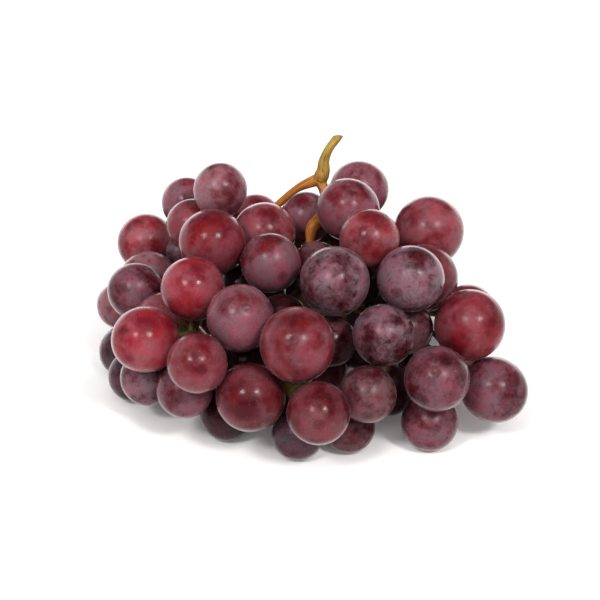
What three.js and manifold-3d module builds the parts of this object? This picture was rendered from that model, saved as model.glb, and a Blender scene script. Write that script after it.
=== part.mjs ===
import * as THREE from "three";
import { mergeVertices } from "three/addons/utils/BufferGeometryUtils.js";
import Module from "manifold-3d";

// A bunch of round red table grapes, picked and laid down, with its woody stalk standing up at
// the back. The stalk forks into two arms inside the bunch. Sprays grow from the arms: each is a
// side stalk, a hub where it parts, and berries on stalks of their own, fused as they grow.
// Millimetres, +Z up. The origin lies on the surface, under the middle of the bunch.

// Clear space between one berry and the next, and round the stem where a spray grows from it.
const clearance = 0.3;
const stemClearance = 0.4;
// How far a berry that bears on the surface is pressed flat.
const pressedFlat = 0.6;
// The middle of the bunch in the places listed below. The origin is under it.
const middleX = -4.9;
const middleY = 5.5;

// The stalk from its picked end to the fork, and the two arms that go on from there.
const stalk = {
  radius: 2,
  route: [[10, 45, 91], [7, 44, 88], [5, 44, 83], [4.4, 44, 79], [3, 44, 75.3]],
};
const leftArm = {
  radius: 1.7,
  route: [
    [3, 44, 75.3], [-5, 44, 71.7], [-13, 45, 64.5], [-20, 45, 59.4], [-32, 38, 46], [-46, 28, 34],
    [-52, 25, 29],
  ],
};
const rightArm = {
  radius: 2.1,
  route: [
    [3, 44, 75.3], [4.6, 43, 72.8], [5.6, 41, 70.4], [6.2, 38.5, 67.8], [5, 35.2, 65],
    [3, 31.6, 63.2], [0.5, 29.3, 61.4], [-0.3, 28.3, 58.6], [-0.4, 28, 55.2], [0, 28, 45], [10, 22, 34],
    [34, 12, 28], [40, 9, 27],
  ],
};
const forkRadius = 2.8;
const cutEndRadius = 2.6;
const cutEndLength = 2.8;
const stemSides = 8;
const stepLength = 5;

// The side stalks, the hubs and the berry stalks. A berry stalk is sunk in its berry by this
// share of the berry's radius.
const sideStalkRadius = 1.5;
const hubRadius = 2.2;
const berryStalkRadius = 1;
const sunkShare = 0.5;
const sideStalkSides = 6;
const bentSteps = 6;

// The sprays of the near side, from left to right. A spray grows from an arm at a share of the
// arm's length. A berry is [x, y, z, diameter].
const nearSprays = [
  {
    name: "spray_left_top",
    skin: "#8a3a48",
    arm: leftArm,
    share: 0.48,
    hub: [-40, 26, 48],
    berries: [[-34.7, 31, 75.3, 21], [-50, 58, 60.2, 21], [-46, 37, 59, 21], [-37, 12, 62, 25]],
  },
  {
    name: "spray_left_back",
    skin: "#6b3540",
    arm: leftArm,
    share: 0.98,
    hub: [-59, 30, 22],
    berries: [
      [-67.6, 61, 41, 24.4], [-65, 39, 35, 23], [-66.4, 16, 39.6, 21.6], [-78, 46, 20, 19],
      [-73.4, 24, 10, 21],
    ],
  },
  {
    name: "spray_left_low",
    skin: "#5f3b48",
    arm: leftArm,
    share: 0.83,
    hub: [-50, 2, 20],
    berries: [[-67.4, 5, 10, 21], [-60, -14, 19, 21], [-45, -31, 23, 20]],
  },
  {
    name: "spray_left_front",
    skin: "#a33e45",
    arm: leftArm,
    share: 0.61,
    hub: [-44, -12, 36],
    berries: [[-59, -25, 40, 24], [-55, 0, 36, 22], [-43, -10, 53, 23], [-39, -42, 39, 21]],
  },
  {
    name: "spray_front_left",
    skin: "#96404c",
    arm: rightArm,
    share: 0.5,
    hub: [-25, 0, 30],
    berries: [[-22, -41, 26, 24], [-31, -25, 10, 20], [-25, -26, 49, 24], [-25, -17, 28, 18]],
  },
  {
    name: "spray_front",
    skin: "#93383f",
    arm: rightArm,
    share: 0.7,
    hub: [-2, -22, 22],
    berries: [
      [-5, -42, 46, 26], [2, -53, 27, 22], [-5, -38, 9, 18.5], [13, -33, 9, 19], [7, -14, 34, 19],
      [-13.1, -18, 11.2, 17.4],
    ],
  },
  {
    name: "spray_middle",
    skin: "#7a3a45",
    arm: rightArm,
    share: 0.385,
    hub: [-13, 18, 44],
    berries: [
      [-15, 2, 58, 22], [-18, 28, 59, 24], [2, 16, 50.5, 19], [-11, -12, 42, 18], [-27, 17, 42, 17],
    ],
  },
  {
    name: "spray_top",
    skin: "#7d4450",
    arm: rightArm,
    share: 0.41,
    hub: [13, 10, 52],
    berries: [
      [8, -17, 59, 25], [21, 3, 67, 22], [14, 25, 70, 24], [19, 48, 69.2, 23.6],
      [20.8, 15.5, 43.6, 18],
    ],
  },
  {
    name: "spray_front_right",
    skin: "#6f3440",
    arm: rightArm,
    share: 0.77,
    hub: [23, -16, 32],
    berries: [
      [19, -41, 27, 20], [25, -30, 44, 22], [35, -10, 37, 19], [28.5, -13, 13.5, 20],
      [18.2, -3.4, 24.7, 15],
    ],
  },
  {
    name: "spray_right_top",
    skin: "#74414c",
    arm: rightArm,
    share: 0.86,
    hub: [32, 14, 40],
    berries: [[35, -15, 59, 24], [42.8, 8, 49, 25.4], [45.6, 32, 58, 27.6]],
  },
  {
    name: "spray_right_end",
    skin: "#8d3442",
    arm: rightArm,
    share: 0.98,
    hub: [47, -14, 25],
    berries: [
      [57, -17, 41, 25.6], [59, 10, 34.8, 21], [65.5, -24, 20, 24], [43, -41, 33, 23],
      [42.4, -31.3, 10, 21], [51.5, -3, 9, 15], [40.5, -3.5, 21.2, 13.2],
    ],
  },
];

// The sprays of the far side and the underside. Most of their berries are grown by the rule below.
const farSprays = [
  {
    name: "spray_back_left",
    skin: "#6d3843",
    arm: leftArm,
    share: 0.72,
    hub: [-40, 40, 26],
    berries: [[-30, 62, 9, 20], [-47, 50, 11, 16.5], [-53, 50, 42, 11.5]],
  },
  {
    name: "spray_back_middle",
    skin: "#7f3a45",
    arm: rightArm,
    share: 0.44,
    hub: [-8, 40, 40],
    berries: [
      [-22, 57, 53.3, 21], [-2, 47, 58.4, 20.9], [-9, 49, 43, 12], [-19.4, 34.4, 31.3, 19],
      [11.5, 60, 49, 18],
    ],
  },
  {
    name: "spray_back_low",
    skin: "#67343f",
    arm: rightArm,
    share: 0.57,
    hub: [2, 34, 22],
    berries: [[18, 60, 9, 20]],
  },
  {
    name: "spray_back_right",
    skin: "#75363f",
    arm: rightArm,
    share: 0.92,
    hub: [36, 28, 26],
    berries: [[28, 44, 44, 20], [29.8, 52, 25, 18]],
  },
  {
    name: "spray_under",
    skin: "#5d2f3a",
    arm: rightArm,
    share: 0.63,
    hub: [-14, 8, 18],
    berries: [],
  },
];

// The far side: berries slide in towards the bunch's long axis, from behind and below, and stop
// where they first touch a berry or the spindle-shaped core that the stalks need. Angles are from
// level, at the back, and upwards. The ones that would show from the front, seen from a little
// above, are left out.
const farTries = 12000;
const farSeed = 7;
const farLeft = -76;
const farRight = 66;
const axisY = 18;
const axisZ = 30;
const lowestAngle = -150;
const highestAngle = 65;
const coreRadius = 22;
const furthestFromAxis = 50;
const smallestBerry = 17;
const largestBerry = 23;
const frontView = THREE.MathUtils.degToRad(25);
const hiddenRimShare = 0.85;
const rimPoints = 12;
// Two places at the right where light comes through the bunch, seen from a point in front. The far
// side leaves them open.
const viewPoint = [-4.2, -435, 246.7];
const openPlaces = [[43.6, 0, 38.5], [46.5, 0, 26.2]];
const openRoom = 2;

// How many rounds of small moves the berries and the bent stalks get to settle.
const settlingRounds = 300;
const bendingRounds = 80;
const wayPoints = 10;
const smoothing = 0.3;

const wasm = await Module();
wasm.setup();

// Numbers from 0 to 1 that come out alike every time.
function seededDraw(seed) {
  let state = seed;
  return () => {
    state = (state * 1664525 + 1013904223) % 4294967296;
    return state / 4294967296;
  };
}

function curveOf({ route }) {
  return new THREE.CatmullRomCurve3(route.map((point) => new THREE.Vector3(...point)));
}

// A stalk as beads along its route, for the berries to lie against.
function beadsOf(limb) {
  const curve = curveOf(limb);
  const count = Math.ceil(curve.getLength() / limb.radius);
  return curve.getSpacedPoints(count).map((centre) => ({ centre, radius: limb.radius }));
}

function overlapOf(ball, other) {
  return ball.radius + other.radius + clearance - ball.centre.distanceTo(other.centre);
}

// The step that takes a ball clear of another one.
function stepClear(ball, other) {
  const overlap = Math.max(overlapOf(ball, other), 0);
  return ball.centre.clone().sub(other.centre).setLength(overlap);
}

// Presses neighbouring berries apart until none overlaps another, the stalk or the surface.
function pressApart(berries, beads) {
  for (let round = 0; round < settlingRounds; round += 1) {
    for (const berry of berries) {
      for (const bead of beads) {
        berry.centre.add(stepClear(berry, bead));
      }
      for (const other of berries.filter((candidate) => candidate !== berry)) {
        const step = stepClear(berry, other).divideScalar(2);
        berry.centre.add(step);
        other.centre.sub(step);
      }
      berry.centre.z = Math.max(berry.centre.z, berry.radius - pressedFlat);
    }
  }
}

// Whether a berry is covered by nearer ones, as seen from the front.
function isHidden(berry, berries) {
  const across = new THREE.Vector3(1, 0, 0);
  const up = new THREE.Vector3(0, Math.sin(frontView), Math.cos(frontView));
  const towardsFront = new THREE.Vector3().crossVectors(across, up);
  const nearness = ({ centre }) => centre.dot(towardsFront);
  const seen = (point) => new THREE.Vector2(point.dot(across), point.dot(up));
  const nearer = berries.filter((other) => nearness(other) > nearness(berry));
  for (let number = 0; number < rimPoints; number += 1) {
    const angle = (number / rimPoints) * 2 * Math.PI;
    const rim = seen(berry.centre);
    rim.x += hiddenRimShare * berry.radius * Math.cos(angle);
    rim.y += hiddenRimShare * berry.radius * Math.sin(angle);
    if (!nearer.some((other) => seen(other.centre).distanceTo(rim) < other.radius)) {
      return false;
    }
  }
  return true;
}

// Whether a berry would stand in the light that comes through an open place.
function shutsLightOut({ centre, radius }) {
  const from = new THREE.Vector3(...viewPoint);
  return openPlaces.some((place) => {
    const sight = new THREE.Ray(from).lookAt(new THREE.Vector3(...place));
    return sight.distanceToPoint(centre) < radius + openRoom;
  });
}

// A berry slid in towards the long axis at a place along it, and how far out it stops.
function slideIn(x, angle, radius, obstacles) {
  const outward = new THREE.Vector3(0, Math.cos(angle), Math.sin(angle));
  const foot = new THREE.Vector3(x, axisY, axisZ);
  const alongAxis = THREE.MathUtils.mapLinear(x, farLeft, farRight, -1, 1);
  let reach = coreRadius * Math.sqrt(1 - alongAxis ** 2);
  for (const obstacle of obstacles) {
    const offset = obstacle.centre.clone().sub(foot);
    const along = offset.dot(outward);
    const asideSquared = offset.lengthSq() - along ** 2;
    const touchSquared = (radius + obstacle.radius + clearance) ** 2;
    if (asideSquared < touchSquared) {
      reach = Math.max(reach, along + Math.sqrt(touchSquared - asideSquared));
    }
  }
  return { centre: foot.addScaledVector(outward, reach), radius, reach };
}

function growFarSide(berries, beads) {
  const draw = seededDraw(farSeed);
  const grown = [];
  for (let number = 0; number < farTries; number += 1) {
    const x = THREE.MathUtils.lerp(farLeft, farRight, draw());
    const angle = THREE.MathUtils.lerp(lowestAngle, highestAngle, draw());
    const radius = THREE.MathUtils.lerp(smallestBerry, largestBerry, draw()) / 2;
    const present = [...berries, ...grown];
    const berry = slideIn(x, THREE.MathUtils.degToRad(angle), radius, [...present, ...beads]);
    const clearOfSurface = berry.centre.z > radius - pressedFlat;
    const hasPlace = berry.reach < furthestFromAxis && clearOfSurface && !shutsLightOut(berry);
    if (hasPlace && isHidden(berry, present)) {
      grown.push(berry);
    }
  }
  return grown;
}

// The way of a stalk from one point to another: straight, or bent round what lies across it.
function clearWay(from, to, radius, obstacles) {
  const way = [];
  for (let number = 0; number <= wayPoints; number += 1) {
    way.push({ centre: from.clone().lerp(to, number / wayPoints), radius });
  }
  const isFree = way.every((ball) => obstacles.every((obstacle) => overlapOf(ball, obstacle) <= 0));
  if (isFree) {
    return [from, to];
  }
  for (let round = 0; round < bendingRounds; round += 1) {
    for (let number = 1; number < wayPoints; number += 1) {
      const ball = way[number];
      for (const obstacle of obstacles) {
        ball.centre.add(stepClear(ball, obstacle));
      }
      const between = way[number - 1].centre.clone().lerp(way[number + 1].centre, 0.5);
      ball.centre.lerp(between, smoothing);
    }
  }
  return way.map((ball) => ball.centre);
}

// A closed solid from a geometry, once its faces share their corners.
function solidOf(geometry) {
  geometry.deleteAttribute("normal");
  geometry.deleteAttribute("uv");
  const merged = mergeVertices(geometry);
  const vertProperties = merged.attributes.position.array;
  const triVerts = merged.index.array;
  return new wasm.Manifold(new wasm.Mesh({ numProp: 3, vertProperties, triVerts }));
}

function ballSolid({ centre, radius }, detail) {
  return solidOf(new THREE.IcosahedronGeometry(radius, detail).translate(...centre));
}

// A stalk of even thickness along a curve, with flat sides.
function stalkSolid(extrudePath, radius, sides, steps) {
  const corners = [];
  for (let side = 0; side < sides; side += 1) {
    const angle = (side / sides) * 2 * Math.PI;
    corners.push(new THREE.Vector2(radius * Math.cos(angle), radius * Math.sin(angle)));
  }
  const settings = { steps, extrudePath, bevelEnabled: false };
  return solidOf(new THREE.ExtrudeGeometry(new THREE.Shape(corners), settings));
}

function waySolid(way, radius) {
  if (way.length === 2) {
    return stalkSolid(new THREE.LineCurve3(...way), radius, sideStalkSides, 1);
  }
  return stalkSolid(new THREE.CatmullRomCurve3(way), radius, sideStalkSides, bentSteps);
}

// The stalk with its flared cut end, its swollen fork and its arms. Room makes it all thicker.
function stemSolid(room) {
  const fork = new THREE.Vector3(...stalk.route.at(-1));
  const flare = new THREE.CylinderGeometry(
    cutEndRadius + room, stalk.radius + room, cutEndLength, stemSides);
  flare.rotateX(Math.PI / 2).translate(...stalk.route[0]);
  let solid = ballSolid({ centre: fork, radius: forkRadius + room }, 1).add(solidOf(flare));
  for (const limb of [stalk, leftArm, rightArm]) {
    const curve = curveOf(limb);
    const steps = Math.ceil(curve.getLength() / stepLength);
    const roundEnd = { centre: curve.getPoint(1), radius: limb.radius + room };
    solid = solid.add(stalkSolid(curve, limb.radius + room, stemSides, steps));
    solid = solid.add(ballSolid(roundEnd, 1));
  }
  return solid;
}

// A spray's side stalk, hub, berries and berry stalks as one body, clear of the stem and cut flat
// where berries bear on the surface.
function spraySolid(spray, sprays, stemRoom, ground) {
  const others = sprays.filter((other) => other !== spray);
  const otherHubs = others.map((other) => other.hub);
  const otherBerries = others.flatMap((other) => other.berries);
  const limbs = [stalk, leftArm, rightArm].flatMap(beadsOf);
  const root = curveOf(spray.arm).getPointAt(spray.share);
  const sideWay = clearWay(root, spray.hub.centre, sideStalkRadius, [...otherBerries, ...otherHubs]);
  let solid = ballSolid(spray.hub, 0).add(waySolid(sideWay, sideStalkRadius));
  for (const berry of spray.berries) {
    const inward = spray.hub.centre.clone().sub(berry.centre);
    const sunkEnd = berry.centre.clone().add(inward.setLength(berry.radius * (1 - sunkShare)));
    const obstacles = [...otherBerries, ...otherHubs, ...limbs];
    const way = clearWay(spray.hub.centre, sunkEnd, berryStalkRadius, obstacles);
    solid = solid.add(ballSolid(berry, 1)).add(waySolid(way, berryStalkRadius));
  }
  const pieces = solid.subtract(stemRoom).subtract(ground).decompose();
  return pieces.reduce((largest, piece) => (piece.volume() > largest.volume() ? piece : largest));
}

function meshOf(name, solid, color, roughness) {
  const { vertProperties, triVerts } = solid.getMesh();
  const geometry = new THREE.BufferGeometry();
  geometry.setAttribute("position", new THREE.BufferAttribute(vertProperties, 3));
  geometry.setIndex(new THREE.BufferAttribute(triVerts, 1));
  geometry.computeVertexNormals();
  const material = new THREE.MeshStandardMaterial({ color, roughness, metalness: 0 });
  const mesh = new THREE.Mesh(geometry, material);
  mesh.name = name;
  return mesh;
}

// The berries find their places: first the listed ones, then the ones that the far side grows.
const sprays = [...nearSprays, ...farSprays].map((spray) => ({
  ...spray,
  hub: { centre: new THREE.Vector3(...spray.hub), radius: hubRadius },
  berries: spray.berries.map(([x, y, z, diameter]) => ({
    centre: new THREE.Vector3(x, y, z),
    radius: diameter / 2,
  })),
}));
const obstacles = [...[stalk, leftArm, rightArm].flatMap(beadsOf), ...sprays.map((spray) => spray.hub)];
const listedBerries = sprays.flatMap((spray) => spray.berries);
pressApart(listedBerries, obstacles);
const growingSprays = sprays.slice(nearSprays.length);
for (const berry of growFarSide(listedBerries, obstacles)) {
  const distance = (spray) => spray.hub.centre.distanceTo(berry.centre);
  growingSprays.sort((one, other) => distance(one) - distance(other));
  growingSprays[0].berries.push(berry);
}

// The pieces of the bunch, placed with the origin under its middle.
const groundSize = 400;
const groundDepth = 40;
const groundBlock = new THREE.BoxGeometry(groundSize, groundSize, groundDepth);
const ground = solidOf(groundBlock.translate(0, 0, -groundDepth / 2));
const stemRoom = stemSolid(stemClearance);
const bunch = new THREE.Group();
bunch.add(meshOf("main_stem", stemSolid(0), "#a9803f", 0.75));
for (const spray of sprays) {
  bunch.add(meshOf(spray.name, spraySolid(spray, sprays, stemRoom, ground), spray.skin, 0.45));
}
bunch.position.set(-middleX, -middleY, 0);

export default bunch;
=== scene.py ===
import bpy
import numpy as np
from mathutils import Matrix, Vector


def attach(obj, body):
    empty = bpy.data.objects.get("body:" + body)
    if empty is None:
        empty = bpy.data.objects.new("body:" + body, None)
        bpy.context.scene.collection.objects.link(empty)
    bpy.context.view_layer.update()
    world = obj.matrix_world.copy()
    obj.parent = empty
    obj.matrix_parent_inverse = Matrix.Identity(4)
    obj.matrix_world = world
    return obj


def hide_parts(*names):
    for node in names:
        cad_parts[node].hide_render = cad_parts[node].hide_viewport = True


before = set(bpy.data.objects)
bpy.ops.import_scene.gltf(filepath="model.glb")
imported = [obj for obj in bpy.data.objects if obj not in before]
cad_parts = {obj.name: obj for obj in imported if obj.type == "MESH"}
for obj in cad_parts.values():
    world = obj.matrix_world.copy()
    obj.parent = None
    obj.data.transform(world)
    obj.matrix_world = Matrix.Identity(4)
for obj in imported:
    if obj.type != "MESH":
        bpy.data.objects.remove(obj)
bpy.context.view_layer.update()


# The main stem: a woody stalk with a level cut end, which parts at a swollen fork into
# two arms that run down inside the bunch. It is straw yellow where it was in the light and
# orange brown lower down. It carries everything else, and stands clear of the surface.

# The source lists places in millimetres and sets the bunch's middle over the origin by this shift.
source_shift = np.array([4.9, -5.5, 0.0])

stem_routes = {
    "stalk": [
        (10.9, 45.2, 93.3), (9.4, 45, 91), (7, 44, 88), (5, 44, 83), (4.7, 44, 79), (3.5, 44, 75.3),
    ],
    "left": [
        (3, 44, 75.3), (-5, 44, 71.7), (-13, 45, 64.5), (-20, 45, 59.4), (-32, 38, 46), (-46, 28, 34),
        (-52, 25, 29),
    ],
    "right": [
        (3, 44, 75.3), (4.6, 43, 72.8), (5.6, 41, 70.4), (6.2, 38.5, 67.8), (5, 35.2, 65),
        (3, 31.6, 63.2), (0.5, 29.3, 61.4), (-0.3, 28.3, 58.6), (-0.4, 28, 55.2), (0, 28, 45),
        (10, 22, 34), (34, 12, 28), (40, 9, 27),
    ],
}
# Radii in millimetres at shares of each limb's length.
stem_radii = {
    "stalk": [(0, 1.7), (0.2, 1.65), (0.35, 1.75), (0.55, 1.95), (0.75, 2.4), (0.9, 3.0), (1, 2.9)],
    "left": [
        (0, 2.5), (0.05, 2.0), (0.12, 1.5), (0.3, 1.4), (0.44, 1.3), (0.48, 1.7), (0.55, 1.4), (0.8, 1.4),
        (1, 1.3),
    ],
    "right": [
        (0, 2.4), (0.04, 2.0), (0.16, 2.1), (0.2, 2.4), (0.245, 2.5), (0.27, 2.3), (0.295, 1.95),
        (0.315, 1.6), (0.33, 2.0), (0.36, 1.8), (1, 1.5),
    ],
}
# The height of the level cut, in metres.
cut_height = 0.0924
# How much of the orange brown bark shows at shares of each limb's length. Over 1 it is weathered.
stem_browning = {
    "stalk": [(0, 0.1), (0.5, 0.05), (0.8, 0.35), (1, 0.6)],
    "left": [(0, 0.6), (0.1, 0.75), (0.4, 1), (1, 1)],
    "right": [(0, 0.5), (0.15, 0.8), (0.25, 1), (0.31, 1), (0.33, 1.8), (0.35, 1.2), (1, 1.2)],
}
stem_rows = 90
stem_columns = 24
steps_between_points = 60

# A stalk's ridges, the fewer ones that wind the other way about it, and the lumps along it: heights as
# shares of its radius, how many go round it, and turns and spacing in radians a metre. Lumps slant.
ridge_height, ridge_count, ridge_twist = 0.035, 5, 60
twine_height, twine_count, twine_twist = 0.03, 3, 140
lump_height, lump_spacing, lump_slant = 0.03, 520, 0.8
# How much the bark's pattern is drawn out along the stalk: distances along it count this much.
bark_draw_out = 0.15


def in_place(places):
    """Places as the source lists them, in metres round the bunch's own origin."""
    return (np.asarray(places, float) + source_shift) / 1000


def smooth_path(points, count):
    """Evenly spaced points on a curve through the given ones. Each stretch is a cubic whose slopes
    come from its neighbours, weighted by the square roots of the distances between the points."""
    points = np.asarray(points, float)
    knots = np.vstack([2 * points[0] - points[1], points, 2 * points[-1] - points[-2]])
    gaps = np.sqrt(np.linalg.norm(np.diff(knots, axis=0), axis=1))[:, None]
    slopes = np.diff(knots, axis=0) / gaps
    across = (knots[2:] - knots[:-2]) / (gaps[:-1] + gaps[1:])
    tangents = slopes[:-1] - across + slopes[1:]
    begin, finish = knots[1:-2], knots[2:-1]
    width = gaps[1:-1]
    leave, arrive = tangents[:-1] * width, tangents[1:] * width
    t = np.linspace(0, 1, steps_between_points, endpoint=False)[None, :, None]
    begin, finish, leave, arrive = (part[:, None] for part in (begin, finish, leave, arrive))
    curve = (
        begin + leave * t
        + (3 * (finish - begin) - 2 * leave - arrive) * t**2
        + (2 * (begin - finish) + leave + arrive) * t**3
    )
    curve = np.vstack([curve.reshape(-1, 3), points[-1]])
    run = np.concatenate([[0], np.cumsum(np.linalg.norm(np.diff(curve, axis=0), axis=1))])
    spaced = np.linspace(0, run[-1], count)
    return np.column_stack([np.interp(spaced, run, curve[:, axis]) for axis in range(3)])


def at_shares(pairs, shares):
    """A value that runs straight from one (share, value) pair to the next."""
    return np.interp(shares, *np.transpose(pairs))


def unit(vectors):
    """Vectors scaled to a length of one."""
    return vectors / np.linalg.norm(vectors, axis=-1, keepdims=True)


def tube_rings(path, radii):
    """Rings of points round a path. A ring's two directions are square to the path, the first one
    also to the world axis that the path follows least. radii holds one for each row and column."""
    along = unit(np.gradient(path, axis=0))
    least = np.eye(3)[np.abs(along).mean(axis=0).argmin()]
    across = unit(np.cross(least, along))
    upward = np.cross(along, across)
    turn = np.linspace(0, 2 * np.pi, radii.shape[1], endpoint=False)[None, :, None]
    outward = np.cos(turn) * across[:, None] + np.sin(turn) * upward[:, None]
    return path[:, None] + outward * radii[..., None], outward


def with_poles(grids):
    """The values of shells' grids in one row for each point, with the mean of the first ring and of
    the last ring added as each shell's poles."""
    shells, width = grids.shape[0], grids.shape[-1]
    poles = grids[:, [0, -1]].mean(axis=2)
    return np.concatenate([grids.reshape(shells, -1, width), poles], axis=1).reshape(-1, width)


def shell_faces(shells, rows, columns):
    """Triangles of closed shells: two for each cell of the grid, which closes on itself round its
    columns, and a fan from a pole to the first ring and to the last."""
    row, column = np.mgrid[0:rows - 1, 0:columns]
    here = (row * columns + column).ravel()
    beside = (row * columns + (column + 1) % columns).ravel()
    ring = np.arange(columns)
    after = (ring + 1) % columns
    top = (rows - 1) * columns
    pole = np.full(columns, rows * columns)
    faces = np.concatenate([
        np.column_stack([here, beside, beside + columns]),
        np.column_stack([here, beside + columns, here + columns]),
        np.column_stack([after, ring, pole]),
        np.column_stack([top + ring, top + after, pole + 1]),
    ])
    starts = np.arange(shells)[:, None, None] * (rows * columns + 2)
    return (faces + starts).reshape(-1, 3)


def add_piece(name, shells, material):
    """One smooth mesh from groups of shells. Each group is a dict of grids: its points, and the
    values that the material reads, by the names of their attributes."""
    points, faces, offset = [], [], 0
    for group in shells:
        grid = group["points"]
        points.append(with_poles(grid))
        faces.append(shell_faces(*grid.shape[:3]) + offset)
        offset += len(points[-1])
    points, faces = np.concatenate(points), np.concatenate(faces)
    mesh = bpy.data.meshes.new(name)
    mesh.vertices.add(len(points))
    mesh.vertices.foreach_set("co", points.ravel())
    mesh.loops.add(faces.size)
    mesh.loops.foreach_set("vertex_index", faces.ravel())
    mesh.polygons.add(len(faces))
    mesh.polygons.foreach_set("loop_start", np.arange(0, faces.size, 3))
    mesh.update(calc_edges=True)
    mesh.validate()
    mesh.polygons.foreach_set("use_smooth", np.ones(len(faces), bool))
    kinds = {1: ("FLOAT", "value"), 3: ("FLOAT_VECTOR", "vector"), 4: ("FLOAT_COLOR", "color")}
    for key in [key for key in shells[0] if key != "points"]:
        values = np.concatenate([with_poles(group[key]) for group in shells])
        kind, field = kinds[values.shape[1]]
        mesh.attributes.new(key, kind, "POINT").data.foreach_set(field, values.ravel())
    mesh.materials.append(material)
    piece = bpy.data.objects.new(name, mesh)
    bpy.context.scene.collection.objects.link(piece)
    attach(piece, "root")
    return piece


def bark_shell(path, radii, browning, seed):
    """A stalk's rings, whose radius waves round it by its ridges and along it by its lumps, with the
    place that its bark pattern is read at: the direction round the stalk, and the distance along it."""
    draws = np.random.default_rng(seed).uniform(0, 2 * np.pi, 4)
    rows, columns = radii.shape
    run = np.linalg.norm(np.diff(path, axis=0), axis=1).sum() * np.linspace(0, 1, rows)[:, None]
    turn = np.linspace(0, 2 * np.pi, columns, endpoint=False)[None, :]
    ridges = ridge_height * np.sin(ridge_count * turn + ridge_twist * run + draws[0])
    twines = twine_height * np.sin(twine_count * turn - twine_twist * run + draws[1])
    lumps = lump_height * np.sin(lump_spacing * run + draws[2] + lump_slant * np.sin(turn + draws[3]))
    rings, outward = tube_rings(path, radii * (1 + ridges + twines + lumps))
    place = outward * radii[..., None] + np.array([0, 0, bark_draw_out]) * run[..., None]
    return {
        "points": rings[None],
        "bark_place": (place + draws[:3])[None],
        "browning": np.broadcast_to(browning[:, None, None], (rows, columns, 1))[None],
    }


class Wire:
    """A socket in a material's nodes. Arithmetic adds Math nodes, and make() adds any other node."""

    def __init__(self, tree, socket=None):
        self.tree = tree
        self.socket = socket

    def make(self, kind, settings=None, sockets=None, output=0):
        """A new node of a type: its settings first, then the values or wires of its sockets."""
        node = self.tree.nodes.new(kind)
        for key, setting in (settings or {}).items():
            setattr(node, key, setting)
        for key, given in (sockets or {}).items():
            self.feed(node.inputs[key], given)
        return Wire(self.tree, node.outputs[output])

    def feed(self, socket, given):
        """Links a wire to a socket, or sets the socket to a value."""
        if isinstance(given, Wire):
            self.tree.links.new(given.socket, socket)
        else:
            socket.default_value = given

    def maths(self, operation, first, second):
        return self.make("ShaderNodeMath", {"operation": operation}, {0: first, 1: second})

    def __add__(self, other):
        return self.maths("ADD", self, other)

    def __radd__(self, other):
        return self.maths("ADD", other, self)

    def __sub__(self, other):
        return self.maths("SUBTRACT", self, other)

    def __rsub__(self, other):
        return self.maths("SUBTRACT", other, self)

    def __mul__(self, other):
        return self.maths("MULTIPLY", self, other)

    def __rmul__(self, other):
        return self.maths("MULTIPLY", other, self)

    def step(self, low, high):
        """0 at low, 1 at high and a smooth step between, clamped."""
        settings = {"interpolation_type": "SMOOTHSTEP", "clamp": True}
        return self.make("ShaderNodeMapRange", settings, {"Value": self, "From Min": low, "From Max": high})

    def blend(self, first, second):
        """A colour between two. A Mix node takes its colours in sockets 6 and 7 and gives one from 2."""
        settings = {"data_type": "RGBA", "blend_type": "MIX", "clamp_factor": True}
        return self.make("ShaderNodeMix", settings, {0: self, 6: first, 7: second}, 2)

    def product(self, first, second):
        """Two colours multiplied."""
        settings = {"data_type": "RGBA", "blend_type": "MULTIPLY"}
        return self.make("ShaderNodeMix", settings, {0: 1.0, 6: first, 7: second}, 2)

    def attribute(self, name, output="Vector"):
        return self.make("ShaderNodeAttribute", {"attribute_name": name}, output=output)

    def noise(self, place, scale, detail, roughness=0.5, distortion=0.0):
        sockets = {
            "Vector": place, "Scale": scale, "Detail": detail, "Roughness": roughness,
            "Distortion": distortion,
        }
        return self.make("ShaderNodeTexNoise", sockets=sockets)


def new_finish(name):
    """A material, its main shader and a wire to start from."""
    material = bpy.data.materials.new(name)
    material.use_nodes = True
    return material, material.node_tree.nodes["Principled BSDF"], Wire(material.node_tree)


def rgba(red, green, blue):
    return (red, green, blue, 1.0)


def bark(name, straw, brown):
    """Stalk bark: straw yellow that turns brown and, past that, weathered, with dark fibres drawn out
    along the stalk, pale scuffs and dark dots."""
    fibre_brown = rgba(0.09, 0.05, 0.015)
    scuff_straw = rgba(0.55, 0.40, 0.16)
    weathered_brown = rgba(0.045, 0.02, 0.01)
    dot_brown = rgba(0.05, 0.025, 0.01)
    material, shader, wire = new_finish(name)
    place = wire.attribute("bark_place")
    browning = wire.attribute("browning", "Fac")
    fibres = wire.noise(place, 1500, 4, 0.6)
    patches = wire.noise(place, 420, 3)
    dots = wire.make("ShaderNodeTexVoronoi", {"feature": "F1"}, {"Vector": place, "Scale": 900})
    turned = (browning + (patches - 0.5) * 0.9).step(0.1, 0.9)
    colour = turned.blend(straw, brown)
    colour = (0.7 * fibres.step(0.6, 0.3)).blend(colour, fibre_brown)
    colour = (0.35 * patches.step(0.55, 0.75)).blend(colour, scuff_straw)
    colour = (0.8 * (browning - 1).step(0.1, 0.7)).blend(colour, weathered_brown)
    colour = (0.8 * dots.step(0.22, 0.12) * patches.step(0.42, 0.5)).blend(colour, dot_brown)
    height = fibres + 0.6 * patches - 0.5 * dots.step(0.3, 0.1)
    bump = wire.make("ShaderNodeBump", None, {"Strength": 0.5, "Distance": 0.0004, "Height": height})
    wire.feed(shader.inputs["Base Color"], colour)
    wire.feed(shader.inputs["Roughness"], 0.5 + 0.3 * fibres)
    wire.feed(shader.inputs["Normal"], bump)
    shader.inputs["Subsurface Weight"].default_value = 0.08
    shader.inputs["Subsurface Radius"].default_value = (1.0, 0.6, 0.2)
    shader.inputs["Subsurface Scale"].default_value = 0.001
    return material


stem_bark = bark("stem_bark", rgba(0.36, 0.235, 0.05), rgba(0.40, 0.125, 0.012))


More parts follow.
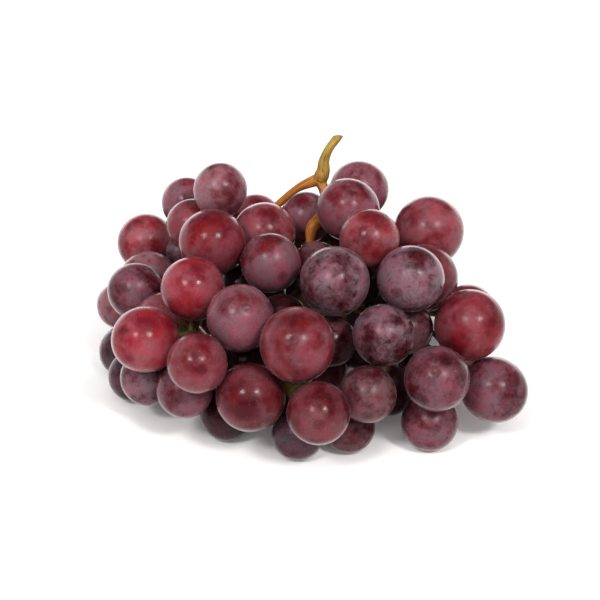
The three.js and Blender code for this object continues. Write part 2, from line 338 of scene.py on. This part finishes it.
def stem_shell(limb, seed):
    """One limb of the stem, as a tube along its route, with what stands above the level cut pressed
    down to it."""
    shares = np.linspace(0, 1, stem_rows)
    path = smooth_path(in_place(stem_routes[limb]), stem_rows)
    radii = at_shares(stem_radii[limb], shares)[:, None] / 1000
    browning = at_shares(stem_browning[limb], shares)
    shell = bark_shell(path, np.repeat(radii, stem_columns, axis=1), browning, seed)
    shell["points"][..., 2] = np.minimum(shell["points"][..., 2], cut_height)
    return shell


stem = add_piece(
    "main_stem_bark", [stem_shell("stalk", 1), stem_shell("left", 2), stem_shell("right", 3)], stem_bark)
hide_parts("main_stem")


# The stalks of the sprays: each spray has a side stalk from an arm of the stem to a knuckle, where
# it parts into one thin stalk for each berry. A berry stalk swells to a warty pad where the berry
# sits. They are green brown, and grow from the stem.

sprays = {
    "spray_left_top": {"arm": "left", "share": 0.48, "hub": (-40, 26, 48)},
    "spray_left_back": {"arm": "left", "share": 0.98, "hub": (-59, 30, 22)},
    "spray_left_low": {"arm": "left", "share": 0.83, "hub": (-50, 2, 20)},
    "spray_left_front": {"arm": "left", "share": 0.61, "hub": (-44, -12, 36)},
    "spray_front_left": {"arm": "right", "share": 0.5, "hub": (-25, 0, 30)},
    "spray_front": {"arm": "right", "share": 0.7, "hub": (-2, -22, 22)},
    "spray_middle": {"arm": "right", "share": 0.385, "hub": (-13, 18, 44)},
    "spray_top": {"arm": "right", "share": 0.41, "hub": (13, 10, 52)},
    "spray_front_right": {"arm": "right", "share": 0.77, "hub": (23, -16, 32)},
    "spray_right_top": {"arm": "right", "share": 0.86, "hub": (32, 14, 40)},
    "spray_right_end": {"arm": "right", "share": 0.98, "hub": (47, -14, 25)},
    "spray_back_left": {"arm": "left", "share": 0.72, "hub": (-40, 40, 26)},
    "spray_back_middle": {"arm": "right", "share": 0.44, "hub": (-8, 40, 40)},
    "spray_back_low": {"arm": "right", "share": 0.57, "hub": (2, 34, 22)},
    "spray_back_right": {"arm": "right", "share": 0.92, "hub": (36, 28, 26)},
    "spray_under": {"arm": "right", "share": 0.63, "hub": (-14, 8, 18)},
}
# Radii in millimetres at shares of each stalk's length.
side_stalk_radii = [(0, 1.2), (0.04, 2.1), (0.12, 1.5), (0.5, 1.25), (0.85, 1.4), (0.97, 2.1), (1, 1.6)]
berry_stalk_radii = [(0, 1.4), (0.1, 1.2), (0.45, 0.9), (0.75, 1.0), (0.9, 1.7), (0.97, 2.0), (1, 1.8)]
# How far out from a berry's middle its stalk ends, as a share of the berry's radius.
pad_seat = 0.9
# How far a stalk's middle stays from other sprays' berries, past its own half width, in metres.
stalk_clearance = 0.0003
side_stalk_half_width = 0.0015
berry_stalk_half_width = 0.001
side_stalk_browning = 0.6
berry_stalk_browning = 0.3
bending_rounds = 80
bending_ease = 0.3
way_points = 11
route_steps = 1000
stalk_rows = 28
stalk_columns = 12
# Limits on a berry's radius, how many of a ball's pairs and corners have to be there, and how nearly
# they have to agree. Lengths in metres.
smallest_berry = 0.005
largest_berry = 0.0145
agreeing_pairs = 7
ball_corners = 32
ball_grain = 4e-5


def berries_of(node):
    """The middles and radii of the balls in a spray's solid. Opposite corners of a ball have its
    middle halfway and its radius as half their distance, so pairs of corners that agree on both
    are counted. The ones that many pairs share are kept where most of a ball's corners are there."""
    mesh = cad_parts[node].data
    corners = np.empty(3 * len(mesh.vertices))
    mesh.vertices.foreach_get("co", corners)
    corners = np.unique(corners.reshape(-1, 3).round(6), axis=0)
    one, other = np.triu_indices(len(corners), 1)
    reach = np.linalg.norm(corners[one] - corners[other], axis=1) / 2
    fits = (reach > smallest_berry) & (reach < largest_berry)
    balls = np.column_stack([(corners[one] + corners[other])[fits] / 2, reach[fits]])
    cells, which, counts = np.unique(
        (balls / ball_grain).round(), axis=0, return_inverse=True, return_counts=True)
    sums = np.zeros((len(cells), 4))
    np.add.at(sums, which.ravel(), balls)
    means = (sums / counts[:, None])[counts >= agreeing_pairs]
    found = []
    for ball in means[np.argsort(-counts[counts >= agreeing_pairs], kind="stable")]:
        on_ball = np.abs(np.linalg.norm(corners - ball[:3], axis=1) - ball[3]) < ball_grain
        is_new = all(np.linalg.norm(ball[:3] - kept[:3]) > ball[3] for kept in found)
        if is_new and on_ball.sum() >= ball_corners:
            found.append(ball)
    found = np.array(found)
    return found[np.lexsort(found.T[::-1])]


def clear_way(begin, finish, radius, obstacles):
    """A stalk's way between two points: straight, or pushed out of the balls that lie across it and
    smoothed, in turns, until it runs round them."""
    way = begin + (finish - begin) * np.linspace(0, 1, way_points)[:, None]

    def pushes(points):
        """How far each point has to move to leave the balls it is too near to."""
        away = points[:, None] - obstacles[None, :, :3]
        distance = np.linalg.norm(away, axis=2)
        depth = np.maximum(obstacles[:, 3] + radius + stalk_clearance - distance, 0)
        return (away / distance[..., None] * depth[..., None]).sum(axis=1)

    if not pushes(way).any():
        return way
    for _ in range(bending_rounds):
        way[1:-1] += pushes(way[1:-1])
        way[1:-1] += bending_ease * ((way[:-2] + way[2:]) / 2 - way[1:-1])
    return way


def spray_stalk(way, radii, browning, seed):
    """One stalk of a spray, as a tube along its way."""
    shares = np.linspace(0, 1, stalk_rows)
    path = smooth_path(way, stalk_rows)
    widths = np.repeat(at_shares(radii, shares)[:, None] / 1000, stalk_columns, axis=1)
    return bark_shell(path, widths, np.full(stalk_rows, browning), seed)


stalk_bark = bark("stalk_bark", rgba(0.11, 0.09, 0.03), rgba(0.09, 0.045, 0.015))
spray_balls = {name: berries_of(name) for name in sprays}
hub_places = {name: in_place(spray["hub"]) for name, spray in sprays.items()}
for seed, (name, spray) in enumerate(sprays.items(), start=10):
    hub = hub_places[name]
    other_balls = np.concatenate([spray_balls[other] for other in sprays if other != name])
    arm = smooth_path(in_place(stem_routes[spray["arm"]]), route_steps + 1)
    root = arm[round(route_steps * spray["share"])]
    way = clear_way(root, hub, side_stalk_half_width, other_balls)
    shells = [spray_stalk(way, side_stalk_radii, side_stalk_browning, seed)]
    for number, (*middle, radius) in enumerate(spray_balls[name]):
        inward = unit(hub - middle)
        seat = middle + inward * radius * pad_seat
        way = clear_way(hub, seat, berry_stalk_half_width, other_balls)
        shells.append(spray_stalk(way, berry_stalk_radii, berry_stalk_browning, 100 * seed + number))
    stalks = add_piece(f"{name}_stalks", shells, stalk_bark)
    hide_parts(name)


# The berries: round grapes with a thin skin that ripens from red to near black, under a waxy bloom
# that handling has rubbed off in patches. The darkest, deep in the gaps and under the bunch, are
# painted shade. Each has a dimple where its stalk pad sits, and a small corky scar of the flower at
# the far end. The ones underneath are pressed flat on the surface.

# Skin and bloom colours, how much of the skin the bloom covers, and how blotched it is.
tones = {
    "scarlet": ((0.180, 0.012, 0.020), (0.250, 0.070, 0.083), 0.48, 0.05),
    "cherry": ((0.125, 0.008, 0.013), (0.20, 0.055, 0.067), 0.54, 0.10),
    "ruby": ((0.105, 0.008, 0.012), (0.180, 0.054, 0.065), 0.50, 0.12),
    "garnet": ((0.078, 0.007, 0.010), (0.150, 0.046, 0.055), 0.50, 0.15),
    "rose": ((0.110, 0.008, 0.013), (0.220, 0.069, 0.082), 0.58, 0.30),
    "blush": ((0.150, 0.012, 0.018), (0.26, 0.083, 0.096), 0.58, 0.25),
    "lilac": ((0.100, 0.008, 0.013), (0.200, 0.082, 0.102), 0.68, 0.30),
    "ash": ((0.110, 0.014, 0.019), (0.235, 0.113, 0.131), 0.72, 0.20),
    "plum": ((0.062, 0.006, 0.009), (0.160, 0.067, 0.084), 0.60, 0.70),
    "smoke": ((0.055, 0.006, 0.009), (0.178, 0.100, 0.120), 0.65, 0.90),
    "dusk": ((0.055, 0.006, 0.009), (0.135, 0.061, 0.069), 0.58, 0.80),
    "slate": ((0.034, 0.006, 0.010), (0.088, 0.050, 0.062), 0.62, 0.55),
    # The last tone is painted shade: darker than any skin, it stands in for the shade that falls on berries
    # deep in the gaps and under the bunch.
    "shade_black": ((0.022, 0.003, 0.005), (0.050, 0.022, 0.026), 0.45, 0.50),
}
# The tone of each berry that the front shows, by its place in the source. Others get one by chance.
shown_berries = {
    "spray_left_top": [
        ("ash", -34.7, 31, 75.3), ("lilac", -50, 58, 60.2), ("ruby", -46, 37, 59), ("cherry", -37, 12, 62),
    ],
    "spray_left_back": [
        ("blush", -67.6, 61, 41), ("ash", -65, 39, 35), ("plum", -66.4, 16, 39.6), ("ash", -78, 46, 20),
        ("slate", -73.4, 24, 10),
    ],
    "spray_left_low": [("slate", -67.4, 5, 10), ("smoke", -60, -14, 19), ("plum", -45, -31, 23)],
    "spray_left_front": [
        ("scarlet", -59, -25, 40), ("blush", -55, 0, 36), ("scarlet", -43, -10, 53), ("ruby", -39, -42, 39),
    ],
    "spray_front_left": [
        ("garnet", -22, -41, 26), ("shade_black", -31, -25, 10), ("lilac", -25, -26, 49), ("shade_black", -25, -17, 28),
    ],
    "spray_front": [
        ("ruby", -5, -42, 46), ("garnet", 2, -53, 27), ("slate", -5, -38, 9), ("dusk", 13, -33, 9),
        ("dusk", 7, -14, 34), ("shade_black", -13.1, -18, 11.2),
    ],
    "spray_middle": [
        ("lilac", -15, 2, 58), ("rose", -18, 28, 59), ("dusk", 2, 16, 50.5), ("shade_black", -11, -12, 42),
        ("shade_black", -27, 17, 42),
    ],
    "spray_top": [
        ("smoke", 8, -17, 59), ("blush", 21, 3, 67), ("lilac", 14, 25, 70), ("lilac", 19, 48, 69.2),
        ("shade_black", 20.8, 15.5, 43.6),
    ],
    "spray_front_right": [
        ("dusk", 19, -41, 27), ("smoke", 25, -30, 44), ("dusk", 35, -10, 37), ("shade_black", 28.5, -13, 13.5),
        ("shade_black", 18.2, -3.4, 24.7),
    ],
    "spray_right_top": [("smoke", 35, -15, 59), ("garnet", 42.8, 8, 49), ("rose", 45.6, 32, 58)],
    "spray_right_end": [
        ("cherry", 57, -17, 41), ("ruby", 59, 10, 34.8), ("plum", 65.5, -24, 20), ("plum", 43, -41, 33),
        ("plum", 42.4, -31.3, 10), ("shade_black", 40.5, -3.5, 21.2),
    ],
    "spray_back_middle": [("rose", -22, 57, 53.3), ("lilac", -2, 47, 58.4), ("shade_black", -19.4, 34.4, 31.3)],
}
# A listed place belongs to the berry whose middle is nearest, if it is this near, in metres.
same_berry = 0.006
berry_rows = 40
berry_columns = 56
# The seed of a spray's draws is this number plus the spray's place in the list of sprays.
berry_seed = 560

# Shares of the radius: how far a berry may be drawn out along its axis, its ripples, the dimple at the
# stalk end with the shoulder round it, and the dent at the flower end. Angles from its ends in radians.
oval_range = (-0.02, 0.03)
ripple_height = 0.006
ripple_pace = 1.6
dimple_depth, dimple_spread = 0.09, 0.2
shoulder_height, shoulder_angle = 0.02, 0.42
flower_dent, flower_spread = 0.012, 0.12
pole_gap = 0.03
# How far a berry's axis leans off the line to its hub, and its flower end off that axis.
axis_lean = 0.12
flower_lean = 0.35
tone_spread = 0.05
# The bloom is thinner on the side that faces up and forward, which leaves a deeper red crescent there:
# partly bloom rubbed off by handling, partly painted shade for the dark reflection from overhead. It lies a
# little thicker elsewhere.
rubbed_and_shaded_side = (0.15, -0.45, 0.9)
rubbed_and_shaded_angle = 0.5
most_rubbed_and_shaded = 0.4
bloom_elsewhere = 0.06
skins = {
    "red_skin": ["spray_left_front", "spray_front_left", "spray_front", "spray_left_top"],
    "plum_skin": [
        "spray_middle", "spray_top", "spray_right_top", "spray_right_end", "spray_back_middle",
        "spray_back_right",
    ],
    "dark_skin": [
        "spray_left_back", "spray_left_low", "spray_front_right", "spray_back_left", "spray_back_low",
        "spray_under",
    ],
}
chance_tones = {
    "red_skin": ["scarlet", "cherry", "ruby", "rose"],
    "plum_skin": ["rose", "cherry", "plum", "lilac", "garnet"],
    "dark_skin": ["dusk", "garnet", "smoke", "slate"],
}


def berry_shells(balls, hub, tone_names, draw):
    """Berries as grids from the stalk end to the flower end. The radius is the ball's, drawn out or
    flattened a little along the berry's own axis, waved by three slow ripples, hollowed at the
    stalk end with a shoulder round it, and dented a very little at the flower end, which lies a
    little aside from the axis. Dimple, shoulder, dent and the thinner bloom on the up and forward
    side, partly rubbed off and partly a painted dark reflection, fade as bell curves of the angle."""
    count = len(balls)
    middles, radii = balls[:, :3], balls[:, 3]
    axis = unit(unit(middles - hub) + draw.normal(0, axis_lean, (count, 3)))
    across = unit(np.cross(axis, draw.normal(0, 1, (count, 3))))
    upward = np.cross(axis, across)
    flower = unit(axis + draw.normal(0, flower_lean, (count, 3)))
    fall = np.linspace(pole_gap, np.pi - pole_gap, berry_rows)[None, :, None]
    turn = np.linspace(0, 2 * np.pi, berry_columns, endpoint=False)[None, None, :]
    around = (
        np.cos(turn)[..., None] * across[:, None, None] + np.sin(turn)[..., None] * upward[:, None, None])
    outward = np.sin(fall)[..., None] * around - np.cos(fall)[..., None] * axis[:, None, None]
    oval = draw.uniform(*oval_range, count)[:, None, None] * (np.cos(fall) ** 2 - 0.5)
    waves = draw.normal(0, ripple_pace, (count, 3, 3))
    phases = draw.uniform(0, 6.28, (count, 1, 1, 3))
    ripples = ripple_height * np.sin(np.einsum("nrck,nwk->nrcw", outward, waves) + phases).sum(axis=-1)
    shoulder = shoulder_height * np.exp(-(((fall - shoulder_angle) / dimple_spread) ** 2))
    dimple = dimple_depth * np.exp(-((fall / dimple_spread) ** 2))
    from_flower = np.arccos(np.clip(np.einsum("nrck,nk->nrc", outward, flower), -1, 1))
    dent = flower_dent * np.exp(-((from_flower / flower_spread) ** 2))
    reach = radii[:, None, None] * (1 + oval + ripples + (shoulder - dimple) - dent)
    points = middles[:, None, None] + outward * reach[..., None]
    points[..., 2] = np.maximum(points[..., 2], 0)
    shape = points.shape[:3]
    shades = draw.uniform(1 - tone_spread, 1 + tone_spread, (count, 1))
    jitter = np.hstack([np.repeat(shades, 3, axis=1), np.ones((count, 1))])
    tints = np.array([tones[tone][0] + tones[tone][3:] for tone in tone_names]) * jitter
    dusts = np.array([tones[tone][1] + tones[tone][2:3] for tone in tone_names]) * jitter
    dusts = np.broadcast_to(dusts[:, None, None], shape + (4,)).copy()
    # Bloom thinned towards the up and forward side: partly rubbed off, partly painted shade for the dark
    # reflection from overhead.
    from_rubbed_and_shaded_side = np.arccos(np.clip(outward @ unit(np.array(rubbed_and_shaded_side)), -1, 1))
    rubbed_and_shaded = np.exp(-((from_rubbed_and_shaded_side / rubbed_and_shaded_angle) ** 2))
    dusts[..., 3] += bloom_elsewhere - draw.uniform(0.0, most_rubbed_and_shaded, count)[:, None, None] * rubbed_and_shaded
    from_stalk = np.broadcast_to(radii[:, None, None] * fall, shape)[..., None]
    return {
        "points": points,
        "skin_place": outward * radii[:, None, None, None] + draw.uniform(-1, 1, (count, 1, 1, 3)),
        "from_stalk": from_stalk,
        "from_tip": (radii[:, None, None] * from_flower)[..., None],
        "tint": np.broadcast_to(tints[:, None, None], shape + (4,)),
        "dust": dusts,
    }


def grape_skin(name, gloss):
    """Grape skin: the berry's own red, deeper and lighter in broad patches, under a bloom that lies
    in ragged patches, rosier and greyer by turns. Dark blotches, pale pin dots and a few corky scuffs
    mark it, a red ring and a brown scar the flower end, and a straw patch the stalk end. Bloom and
    scuffs are rougher than bare skin, and the rim is the glossiest."""
    deeper, lighter = rgba(0.7, 0.7, 0.95), rgba(1.3, 1.3, 1.1)
    rosier, greyer = rgba(1.1, 0.86, 0.92), rgba(0.9, 1.1, 1.06)
    blotch_black = rgba(0.020, 0.004, 0.006)
    pin_pale = rgba(0.45, 0.25, 0.24)
    cork_brown = rgba(0.12, 0.05, 0.03)
    ring_red = rgba(0.07, 0.010, 0.014)
    scar_brown = rgba(0.06, 0.02, 0.016)
    pad_straw = rgba(0.26, 0.18, 0.05)
    material, shader, wire = new_finish(name)
    place = wire.attribute("skin_place")
    tint, dust = wire.attribute("tint", "Color"), wire.attribute("dust", "Color")
    # The bloom's cover is lower on each berry's up and forward side: partly rubbed off, partly a painted
    # dark reflection.
    cover, blotched = wire.attribute("dust", "Alpha"), wire.attribute("tint", "Alpha")
    from_tip, from_stalk = wire.attribute("from_tip", "Fac"), wire.attribute("from_stalk", "Fac")
    broad = wire.noise(place, 110, 4, 0.55)
    patches = wire.noise(place, 95, 2, 0.45)
    wax = wire.noise(place, 330, 5, 0.65)
    powder = wire.noise(place, 1700, 3, 0.7)
    chalk = wire.noise(place, 170, 3, 0.6)
    spots = wire.noise(place, 420, 5, 0.66, 0.7)
    pins = wire.make("ShaderNodeTexVoronoi", {"feature": "F1"}, {"Vector": place, "Scale": 520})
    corky = wire.noise(place, 240, 6, 0.7)
    lying = (patches + 0.42 * (wax - 0.5) + 0.5 * (cover - 0.5)).step(0.34, 0.66)
    bloom = (0.05 + 0.9 * lying) * (0.75 + 0.5 * powder)
    skin = wire.product(tint, broad.step(0.34, 0.66).blend(deeper, lighter))
    wax_coat = wire.product(dust, chalk.step(0.36, 0.64).blend(rosier, greyer))
    colour = bloom.blend(skin, wax_coat)
    blotches = blotched * spots.step(0.48, 0.64) * (1.1 - 0.5 * lying)
    colour = (0.85 * blotches).blend(colour, blotch_black)
    colour = (0.15 * pins.step(0.16, 0.06)).blend(colour, pin_pale)
    scuffs = corky.step(0.68, 0.75)
    colour = (0.6 * scuffs).blend(colour, cork_brown)
    scar = (from_tip + 0.0008 * (wax - 0.5)).step(0.0009, 0.0005)
    ring = (from_tip + 0.0016 * (wax - 0.5)).step(0.0026, 0.0015)
    colour = (0.5 * ring).blend(colour, ring_red)
    colour = (0.5 * scar).blend(colour, scar_brown)
    colour = (0.7 * from_stalk.step(0.005, 0.002)).blend(colour, pad_straw)
    height = 0.5 * powder + 0.5 * wax - 0.6 * scar + 0.4 * scuffs
    bump = wire.make("ShaderNodeBump", None, {"Strength": 0.35, "Distance": 0.0002, "Height": height})
    rim = wire.make("ShaderNodeLayerWeight", None, {"Blend": 0.5}, "Facing")
    wire.feed(shader.inputs["Base Color"], colour)
    wire.feed(shader.inputs["Roughness"], gloss + 0.12 * bloom + 0.2 * scuffs)
    wire.feed(shader.inputs["Coat Weight"], 0.6 * rim.step(0.5, 0.8))
    wire.feed(shader.inputs["Normal"], bump)
    shader.inputs["IOR"].default_value = 1.42
    shader.inputs["Specular IOR Level"].default_value = 0.22
    shader.inputs["Coat Roughness"].default_value = 0.15
    shader.inputs["Sheen Weight"].default_value = 0.15
    shader.inputs["Sheen Roughness"].default_value = 0.2
    shader.inputs["Sheen Tint"].default_value = rgba(0.95, 0.74, 0.78)
    shader.inputs["Subsurface Weight"].default_value = 0.12
    shader.inputs["Subsurface Radius"].default_value = (1.0, 0.25, 0.2)
    shader.inputs["Subsurface Scale"].default_value = 0.003
    return material


# The roughness of bare skin.
skin_gloss = {"red_skin": 0.16, "plum_skin": 0.18, "dark_skin": 0.2}
for slot, names in skins.items():
    finish = grape_skin(slot, skin_gloss[slot])
    for name in names:
        balls = spray_balls[name]
        draw = np.random.default_rng(list(sprays).index(name) + berry_seed)
        tone_names = list(draw.choice(chance_tones[slot], len(balls)))
        for tone, *place in shown_berries.get(name, []):
            distances = np.linalg.norm(balls[:, :3] - in_place(place), axis=1)
            if distances.min() < same_berry:
                tone_names[distances.argmin()] = tone
        shells = [berry_shells(balls, hub_places[name], tone_names, draw)]
        berries = add_piece(f"{name}_berries", shells, finish)
        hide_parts(name)


# The table top under the bunch: a plain pale sheet that runs out of sight on every side.

floor_reach = 20.0
floor_mesh = bpy.data.meshes.new("floor")
floor_corners = [(x * floor_reach, y * floor_reach, 0) for x, y in [(-1, -1), (1, -1), (1, 1), (-1, 1)]]
floor_mesh.from_pydata(floor_corners, [], [(0, 1, 2, 3)])
floor_finish, floor_shader, floor_wire = new_finish("pale_floor")
floor_place = floor_wire.make("ShaderNodeTexCoord", output="Object")
floor_white, floor_whiter = rgba(0.94, 0.93, 0.925), rgba(0.96, 0.95, 0.945)
floor_colour = floor_wire.noise(floor_place, 3, 2).blend(floor_white, floor_whiter)
floor_wire.feed(floor_shader.inputs["Base Color"], floor_colour)
floor_shader.inputs["Roughness"].default_value = 0.6
floor_shader.inputs["Emission Color"].default_value = rgba(1.0, 1.0, 1.0)
floor_shader.inputs["Emission Strength"].default_value = 0.06
floor_mesh.materials.append(floor_finish)
floor = bpy.data.objects.new("floor", floor_mesh)
bpy.context.scene.collection.objects.link(floor)


# The studio: surroundings that are bright low down behind the bunch, dim overhead and dimmer still in
# front of it, and three lamps high in front: a small one on each side and a broad one between them.

# How far back and how far up a direction points where the light behind and overhead begin and are full.
behind_range = (-0.1, 0.5)
overhead_range = (0.15, 0.4)
behind_light = 2.0
overhead_light = 0.3
front_light = 0.15
world = bpy.data.worlds.new("studio")
world.use_nodes = True
sky = Wire(world.node_tree)
facing = sky.make("ShaderNodeTexCoord", output="Generated")
backward = sky.make("ShaderNodeSeparateXYZ", None, {0: facing}, "Y")
upward = sky.make("ShaderNodeSeparateXYZ", None, {0: facing}, "Z")
level = backward.step(*behind_range).blend(rgba(*[front_light] * 3), rgba(*[behind_light] * 3))
level = upward.step(*overhead_range).blend(level, rgba(*[overhead_light] * 3))
sky.feed(world.node_tree.nodes["Background"].inputs["Color"], level)
bpy.context.scene.world = world

# Where each lamp stands, how wide it looks in degrees, and its power.
lamps = {
    "lamp_left": ((-0.382, -0.633, 0.673), 9, 1.0),
    "lamp_right": ((0.382, -0.633, 0.673), 9, 1.35),
    "lamp_front": ((0.0, -0.66, 0.75), 70, 1.5),
}
for name, (side, spread, power) in lamps.items():
    light = bpy.data.lights.new(name, "SUN")
    light.angle = np.radians(spread)
    light.energy = power
    lamp = bpy.data.objects.new(name, light)
    lamp.rotation_euler = Vector(side).to_track_quat("Z", "Y").to_euler()
    bpy.context.scene.collection.objects.link(lamp)

bpy.context.scene.view_settings.view_transform = "Standard"
bpy.context.scene.view_settings.look = "Medium High Contrast"


# The camera: in front of the bunch and looking down on it a little, as in the photograph.

camera_aim = np.array([0.00065, -0.0055, 0.0438])
camera_distance = 0.48
camera_tilt = np.radians(25)
camera_data = bpy.data.cameras.new("camera")
camera_data.sensor_width = 36.0
camera_data.lens = 77.8
camera = bpy.data.objects.new("camera", camera_data)
camera.location = camera_aim + camera_distance * np.array([0, -np.cos(camera_tilt), np.sin(camera_tilt)])
camera.rotation_euler = (np.pi / 2 - camera_tilt, 0, 0)
bpy.context.scene.collection.objects.link(camera)
bpy.context.scene.camera = camera
